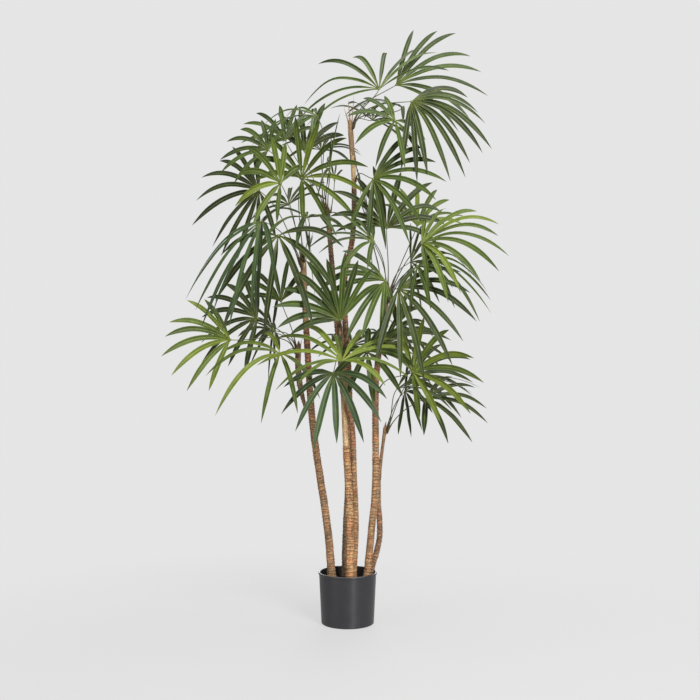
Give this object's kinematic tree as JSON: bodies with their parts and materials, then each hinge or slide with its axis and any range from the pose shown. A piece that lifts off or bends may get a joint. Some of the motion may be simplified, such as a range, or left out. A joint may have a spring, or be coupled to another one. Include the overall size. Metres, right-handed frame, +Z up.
{
  "type": "artificial lady palm",
  "caption": "Artificial lady palm: slender ringed stems topped with drooping fan fronds, set in cement in a plain black nursery pot.",
  "frame": {"origin": "centre of the pot's flat underside", "axes": "+Z up along the pot's axis; the plant's front faces -Y, so +X is the viewer's right"},
  "size_m": [0.9856, 0.7384, 1.8411],
  "materials": {
    "pot_plastic": "matt moulded black",
    "fill_cement": "cast cement, painted black",
    "bark_tan": "ringed and mottled",
    "bark_red": "ringed and mottled",
    "bark_dark": "ringed and mottled",
    "leaf_dark": "satin leaf cloth",
    "leaf_mid": "satin leaf cloth",
    "leaf_light": "satin leaf cloth",
    "leaf_blue": "satin leaf cloth"
  },
  "bodies": {
    "root": {"pot": "pot_plastic", "fill": "fill_cement", "stem_left": "bark_tan", "stem_front": "bark_tan", "stem_tall": "bark_red", "stem_centre": "bark_red", "stem_right": "bark_tan", "stem_right_short": "bark_red", "stem_left_side": "bark_dark", "frond_tall_1": "leaf_mid", "frond_tall_2": "leaf_mid", "frond_tall_3": "leaf_dark", "frond_tall_4": "leaf_mid", "frond_tall_5": "leaf_dark", "frond_tall_6": "leaf_mid", "frond_tall_7": "leaf_dark", "frond_tall_8": "leaf_mid", "frond_front_1": "leaf_dark", "frond_front_2": "leaf_dark", "frond_front_3": "leaf_mid", "frond_front_4": "leaf_mid", "frond_front_5": "leaf_mid", "frond_front_6": "leaf_dark", "frond_front_7": "leaf_mid", "frond_left_1": "leaf_light", "frond_left_2": "leaf_light", "frond_left_3": "leaf_dark", "frond_left_4": "leaf_mid", "frond_left_5": "leaf_blue", "frond_left_6": "leaf_dark", "frond_left_7": "leaf_dark", "frond_left_8": "leaf_mid", "frond_left_side_1": "leaf_mid", "frond_left_side_2": "leaf_dark", "frond_left_side_3": "leaf_light", "frond_left_side_4": "leaf_dark", "frond_left_side_5": "leaf_light", "frond_left_side_6": "leaf_dark", "frond_centre_1": "leaf_mid", "frond_centre_2": "leaf_light", "frond_centre_3": "leaf_blue", "frond_centre_4": "leaf_mid", "frond_centre_5": "leaf_dark", "frond_right_1": "leaf_dark", "frond_right_2": "leaf_mid", "frond_right_3": "leaf_light", "frond_right_4": "leaf_mid", "frond_right_5": "leaf_mid", "frond_right_6": "leaf_dark", "frond_right_7": "leaf_mid", "frond_right_8": "leaf_light", "frond_right_9": "leaf_dark", "frond_right_10": "leaf_light", "frond_right_11": "leaf_dark", "frond_right_12": "leaf_dark", "frond_right_13": "leaf_mid", "frond_right_short_1": "leaf_dark", "frond_right_short_2": "leaf_dark", "frond_right_short_3": "leaf_dark", "frond_right_short_4": "leaf_dark"}
  },
  "joints": []
}
